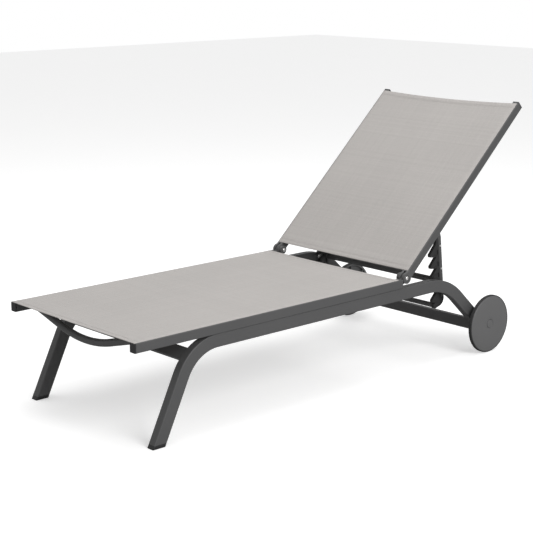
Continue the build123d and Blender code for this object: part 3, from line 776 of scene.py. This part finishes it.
class LOUNGER_OT_wheels(bpy.types.Operator):
    """Turn the wheels, treads and hub caps"""

    bl_idname = "lounger.wheels"
    bl_label = "Wheels"

    def execute(self, context):
        ribs = context.scene.lounger_wheel.ribs
        for side, sign in SIDES:
            body = "wheel_" + side
            low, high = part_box("wheel_" + side)
            centre = (low + high) / 2
            inboard = high.y if sign < 0 else low.y
            place = facing((0, sign, 0), (centre.x, inboard, centre.z))
            depth = high.y - low.y
            rim = (high.x - low.x) / 2
            hub_low, hub_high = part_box("hub_cap_" + side)
            cap = (hub_high.x - hub_low.x) / 2
            disc = Shape()
            face = depth
            rings = [
                (0.0051, 0.0),
                (0.016, 0.0),
                (0.0165, face - 0.0075),
                (0.020, face - 0.0046),
                (rim - 0.012, face - 0.0058),
                (rim - 0.0068, face - 0.009),
                (rim - 0.006, face - 0.017),
                (rim - 0.0002, face - 0.017),
                (rim, face - 0.0028),
                (rim - 0.0018, face - 0.0014),
                (rim - 0.0062, face - 0.0009),
                (rim - 0.0074, face - 0.0016),
                (rim - 0.0086, face - 0.0009),
                (0.060, face - 0.0003),
                (cap + 0.006, face),
                (cap + 0.0042, face - 0.0005),
                (cap + 0.0012, face - 0.0005),
                (cap + 0.0003, face - 0.0030),
                (0.011, face - 0.0031),
                (0.011, 0.0252),
                (0.0051, 0.0250),
            ]
            disc.lathe(eased(rings, 0.0009, closed=True), place, WHEEL_SEGMENTS, closed=True)
            for i in range(ribs):
                turn = place @ Matrix.Rotation(2 * pi * i / ribs, 4, "Z")
                reach = np.linspace(0.0155, rim - 0.0064, 8)
                line = [turn @ Vector((x, 0, face - 0.0115 + 0.0009 * cos(30 * x))) for x in reach]
                disc.sweep(line, 0.0026, steps=10)
                foot = [turn @ Vector((x, 0, face - 0.0078)) for x in np.linspace(0.0158, rim - 0.0068, 6)]
                disc.sweep(foot, 0.0030, steps=10)
            piece = disc.build("wheel_disc_" + side, finish_of("wheel_plastic"), body, 28.0)
            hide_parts("wheel_" + side)
            self.tread(side, place, inboard, body)
            self.cap(side, sign, place, inboard, cap, body)
        return {"FINISHED"}

    def tread(self, side, place, inboard, body):
        """Rubber ring with rounded shoulders and three fine grooves."""
        low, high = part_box("wheel_tread_" + side)
        radius = (high.x - low.x) / 2
        start = min(abs(low.y - inboard), abs(high.y - inboard))
        width = high.y - low.y
        rings = [(radius - 0.0036, start), (radius - 0.0012, start), (radius, start + 0.0018)]
        for share in (0.3, 0.5, 0.7):
            middle = start + width * share
            rings += [(radius, middle - 0.0007), (radius - 0.0009, middle - 0.0003)]
            rings += [(radius - 0.0009, middle + 0.0003), (radius, middle + 0.0007)]
        end = start + width
        rings += [(radius, end - 0.0018), (radius - 0.0012, end), (radius - 0.0036, end)]
        ring = Shape()
        ring.lathe(eased(rings, 0.0006, closed=True), place, WHEEL_SEGMENTS, closed=True)
        piece = ring.build("tread_ring_" + side, finish_of("wheel_tread"), body, 30.0)
        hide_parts("wheel_tread_" + side)

    def cap(self, side, sign, place, inboard, radius, body):
        """Plain domed hub cap with one fine ring."""
        low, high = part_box("hub_cap_" + side)
        near = min(abs(low.y - inboard), abs(high.y - inboard))
        far = max(abs(low.y - inboard), abs(high.y - inboard))
        side_wall = radius - 0.0002
        rings = [(0.0, near), (side_wall, near), (side_wall, far - 0.0014), (radius - 0.0016, far - 0.0006)]
        rings += [(radius * 0.66, far - 0.0003), (radius * 0.62, far - 0.0007), (radius * 0.58, far - 0.0003)]
        rings += [(radius * 0.3, far), (0.0, far)]
        dome = Shape()
        dome.lathe(eased(rings, 0.0006), place, 72)
        piece = dome.build("hub_dome_" + side, finish_of("wheel_plastic"), body, 30.0)
        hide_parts("hub_cap_" + side)


class LOUNGER_OT_mouldings(bpy.types.Operator):
    """Soften the edges of the castings, plugs, feet, racks and strips"""

    bl_idname = "lounger.mouldings"
    bl_label = "Castings and mouldings"

    def execute(self, context):
        width = context.scene.lounger_frame.softening
        for stem in (
            "seat_rail_cap",
            "back_rail_cap",
            "foot_glide",
            "bow_end_plug",
            "hinge_bracket",
            "hinge_end",
            "toothed_rack",
            "prop_strip",
        ):
            for side, _ in SIDES:
                node = stem + "_" + side
                softened(node, stem + "_soft_" + side, finish_of(slot_of(node)), width)
        return {"FINISHED"}


class LOUNGER_OT_fasteners(bpy.types.Operator):
    """Make the bolts, nuts and pins with domes, sockets and chamfers"""

    bl_idname = "lounger.fasteners"
    bl_label = "Fasteners"

    def execute(self, context):
        for side, sign in SIDES:
            self.bolt("hinge_bolt", side, sign, 0.0070, 0.0034, 0.0040)
            self.bolt("prop_bolt", side, -sign, 0.0075, 0.0045, 0.0040)
            self.pin(side, sign)
            self.nut("hinge_nut", side, -sign, 0.0066)
            self.nut("axle_nut", side, -sign, 0.0085)
        return {"FINISHED"}

    def bolt(self, stem, side, outward, head, thickness, shank):
        """Domed head with a six-sided socket, and its shank."""
        node = stem + "_" + side
        low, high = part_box(node)
        middle = (low + high) / 2
        tip = high.y if outward > 0 else low.y
        length = high.y - low.y
        place = facing((0, outward, 0), (middle.x, tip, middle.z))
        rings = [
            (0.0, -length),
            (shank - 0.0006, -length),
            (shank, -length + 0.0006),
            (shank, -thickness),
            (head, -thickness),
            (head, -thickness * 0.55),
            (head * 0.82, -0.0006),
            (head * 0.62, 0.0),
            (head * 0.48, -0.0001, True),
            (head * 0.45, -0.0004, True),
            (head * 0.45, -0.0022, True),
            (0.0, -0.0024),
        ]
        shape = Shape()
        shape.lathe(rings, place, 60)
        body = frame["nodes"][node]["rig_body"]
        piece = shape.build(node + "_turned", finish_of("bright_steel"), body, 30.0)
        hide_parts(node)

    def pin(self, side, sign):
        """Catch pin with a collar, a waist and a domed end."""
        node = "catch_pin_" + side
        low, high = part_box(node)
        middle = (low + high) / 2
        end = high.y if sign < 0 else low.y
        place = facing((0, -sign, 0), (middle.x, end, middle.z))
        length = high.y - low.y
        rings = [
            (0.0, -length),
            (0.0053, -length),
            (0.0053, -0.0054),
            (0.0090, -0.0052),
            (0.0090, -0.0040),
            (0.0082, -0.0034),
            (0.0055, -0.0033),
            (0.0055, -0.0012),
            (0.0044, -0.0003),
            (0.0, 0.0),
        ]
        shape = Shape()
        shape.lathe(eased(rings, 0.0003), place, 48)
        piece = shape.build(node + "_turned", finish_of("bright_steel"), "base", 30.0)
        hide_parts(node)

    def nut(self, stem, side, outward, flats):
        """Six-sided nut with a domed nylon collar and a chamfer at both faces."""
        node = stem + "_" + side
        low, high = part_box(node)
        middle = (low + high) / 2
        base = low.y if outward > 0 else high.y
        height = high.y - low.y
        bore = 0.0041 if stem == "hinge_nut" else 0.0051
        place = facing((0, outward, 0), (middle.x, base, middle.z))
        rings = [
            (bore, 0.0),
            (flats * 0.92, 0.0, True),
            (flats, height * 0.08, True),
            (flats, height * 0.66, True),
            (flats * 0.90, height * 0.74, True),
            (flats * 0.82, height * 0.74),
            (flats * 0.80, height * 0.94),
            (flats * 0.72, height),
            (bore, height),
        ]
        shape = Shape()
        shape.lathe(rings, place, 60, closed=True)
        body = frame["nodes"][node]["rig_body"]
        piece = shape.build(node + "_chamfered", finish_of("bright_steel"), body, 30.0)
        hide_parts(node)


class LOUNGER_OT_welds(bpy.types.Operator):
    """Lay rippled weld beads where the cross members meet the rails and bows"""

    bl_idname = "lounger.welds"
    bl_label = "Weld beads"

    def execute(self, context):
        bead = context.scene.lounger_frame.weld
        rounds = (
            ("seat_front_tube", "base", SEAT_PLACE),
            ("seat_rear_tube", "base", SEAT_PLACE),
            ("back_lower_tube", "back", BACK_PLACE),
            ("back_top_tube", "back", BACK_PLACE),
        )
        for node, body, place in rounds:
            low, high = local_box(node, place)
            radius = (high.x - low.x) / 2
            centre = Vector(((low.x + high.x) / 2, 0, high.z - radius))
            beads = Shape()
            for sign in (-1, 1):
                line = []
                count = 72
                for i in range(count):
                    angle = 2 * pi * i / count
                    ripple = 1 + 0.012 * sin(RIPPLES * angle)
                    reach = (radius + bead * 0.35) * ripple
                    offset = Vector((reach * cos(angle), sign * (high.y - bead * 0.45), reach * sin(angle)))
                    line.append(place @ (centre + offset))
                waves = [sin(RIPPLES * 2 * pi * i / count) for i in range(count)]
                beads.sweep(line, [bead * (1 + RIPPLE_DEPTH * wave) for wave in waves], 10, closed=True)
            beads.build(node + "_welds", finish_of("weld"), body, 60.0)
        self.flat_tube("axle_beam", bead)
        self.prop_tube(bead)
        return {"FINISHED"}

    def flat_tube(self, node, bead):
        """Beads round the ends of an upright flat tube."""
        low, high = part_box(node)
        middle = (low + high) / 2
        wide, tall = (high.x - low.x) / 2, (high.z - low.z) / 2
        beads = Shape()
        corner = 0.0035
        for sign in (-1, 1):
            line = []
            for cx, cz, start in (
                (wide - corner, tall - corner, 0),
                (corner - wide, tall - corner, 90),
                (corner - wide, corner - tall, 180),
                (wide - corner, corner - tall, 270),
            ):
                for step in range(5):
                    angle = radians(start + 22.5 * step)
                    x = middle.x + cx + (corner + bead * 0.3) * cos(angle)
                    z = middle.z + cz + (corner + bead * 0.3) * sin(angle)
                    line.append((x, sign * (high.y - bead * 0.45), z))
            beads.sweep(line, bead, 10, closed=True)
        beads.build(node + "_welds", finish_of("weld"), "base", 60.0)

    def prop_tube(self, bead):
        """Beads where the prop's cross tube meets its strips."""
        low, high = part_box("prop_cross_tube")
        middle = (low + high) / 2
        radius = (high.x - low.x) / 2
        count, ripples = 64, 20
        beads = Shape()
        for sign in (-1, 1):
            line = []
            across = sign * (high.y - bead * 0.4)
            reach = radius + bead * 0.2
            radii = []
            for i in range(count):
                angle = 2 * pi * i / count
                line.append((middle.x + reach * cos(angle), across, middle.z + reach * sin(angle)))
                radii.append(bead * 0.8 * (1 + RIPPLE_DEPTH * sin(ripples * angle)))
            beads.sweep(line, radii, 8, closed=True)
        beads.build("prop_tube_welds", finish_of("weld"), "prop", 60.0)


class LOUNGER_OT_studio(bpy.types.Operator):
    """Lay the pale floor and set the soft lights and the camera"""

    bl_idname = "lounger.studio"
    bl_label = "Studio"

    def execute(self, context):
        settings = context.scene.lounger_studio
        self.floor(settings)
        self.world(context.scene, settings)
        self.area("key_light", (-0.3, -4.2, 2.6), (0.1, 0.0, 0.3), 3.0, settings.key)
        self.area("top_light", (0.4, 0.6, 4.2), (0.0, 0.0, 0.3), 3.6, settings.key * 0.55)
        camera = bpy.data.cameras.new("camera")
        camera.lens = settings.lens
        camera.sensor_width = 36.0
        camera.sensor_fit = "HORIZONTAL"
        camera.clip_end = 60.0
        holder = bpy.data.objects.new("camera", camera)
        context.scene.collection.objects.link(holder)
        holder.location = settings.camera
        holder.rotation_euler = (pi / 2 - settings.pitch, 0.0, -settings.yaw)
        context.scene.camera = holder
        context.scene.view_settings.view_transform = "Standard"
        return {"FINISHED"}

    def floor(self, settings):
        """Wide plane, pale to the eye and dimmer to bounced light."""
        mesh = bpy.data.meshes.new("floor")
        reach = 14.0
        corners = [(-reach, -reach, 0), (reach, -reach, 0), (reach, reach, 0), (-reach, reach, 0)]
        mesh.from_pydata(corners, [], [(0, 1, 2, 3)])
        material, tree, shader = new_material("floor_paint")
        place = add_node(tree, "TexCoord").outputs["Object"]
        noise = add_node(tree, "TexNoise", Vector=place, Scale=1.5, Detail=3.0)
        pale = rgba((settings.floor,) * 3)
        seen = mix_colours(tree, noise.outputs["Fac"], pale, rgba((settings.floor * 0.99,) * 3))
        rays = add_node(tree, "LightPath")
        colour = mix_colours(tree, rays.outputs["Is Camera Ray"], rgba((0.42,) * 3), seen)
        tree.links.new(colour, shader.inputs["Base Color"])
        glow = mix_colours(tree, rays.outputs["Is Camera Ray"], rgba((0.0,) * 3), rgba((settings.glow,) * 3))
        tree.links.new(glow, shader.inputs["Emission Color"])
        shader.inputs["Emission Strength"].default_value = 1.0
        shader.inputs["Roughness"].default_value = 0.8
        shader.inputs["Specular IOR Level"].default_value = 0.1
        mesh.materials.append(material)
        plane = bpy.data.objects.new("floor", mesh)
        bpy.context.scene.collection.objects.link(plane)

    def world(self, scene, settings):
        """White surround, seen at full strength and lighting at the fill's strength."""
        world = bpy.data.worlds.new("surround")
        world.use_nodes = True
        tree = world.node_tree
        tree.nodes.clear()
        rays = add_node(tree, "LightPath")
        seen = rays.outputs["Is Camera Ray"]
        strength = calculate(tree, "MULTIPLY_ADD", seen, 1.0 - settings.fill, settings.fill)
        background = add_node(tree, "Background", Color=(1.0, 1.0, 1.0, 1.0), Strength=strength)
        output = tree.nodes.new("ShaderNodeOutputWorld")
        tree.links.new(background.outputs[0], output.inputs["Surface"])
        scene.world = world

    def area(self, name, place, target, size, power):
        light = bpy.data.lights.new(name, "AREA")
        light.shape = "DISK"
        light.size = size
        light.energy = power
        holder = bpy.data.objects.new(name, light)
        bpy.context.scene.collection.objects.link(holder)
        holder.location = place
        holder.rotation_euler = (Vector(target) - Vector(place)).to_track_quat("-Z", "Y").to_euler()


class LOUNGER_PT_panel(bpy.types.Panel):
    """Lists the lounger's operators in the sidebar"""

    bl_idname = "LOUNGER_PT_panel"
    bl_label = "Sun lounger"
    bl_space_type = "VIEW_3D"
    bl_region_type = "UI"
    bl_category = "Lounger"

    def draw(self, context):
        for operator in OPERATORS:
            self.layout.operator(operator.bl_idname)


SETTINGS = {
    "lounger_sling": LoungerSlingSettings,
    "lounger_frame": LoungerFrameSettings,
    "lounger_wheel": LoungerWheelSettings,
    "lounger_studio": LoungerStudioSettings,
}
OPERATORS = (
    LOUNGER_OT_finishes,
    LOUNGER_OT_slings,
    LOUNGER_OT_wheels,
    LOUNGER_OT_mouldings,
    LOUNGER_OT_fasteners,
    LOUNGER_OT_welds,
    LOUNGER_OT_studio,
)


def register():
    for kind in (*SETTINGS.values(), *OPERATORS, LOUNGER_PT_panel):
        bpy.utils.register_class(kind)
    for name, kind in SETTINGS.items():
        setattr(bpy.types.Scene, name, PointerProperty(type=kind))


def unregister():
    for name in SETTINGS:
        delattr(bpy.types.Scene, name)
    for kind in (LOUNGER_PT_panel, *reversed(OPERATORS), *SETTINGS.values()):
        bpy.utils.unregister_class(kind)


def main():
    register()
    for operator in OPERATORS:
        group, name = operator.bl_idname.split(".")
        getattr(getattr(bpy.ops, group), name)()


if __name__ == "__main__":
    main()
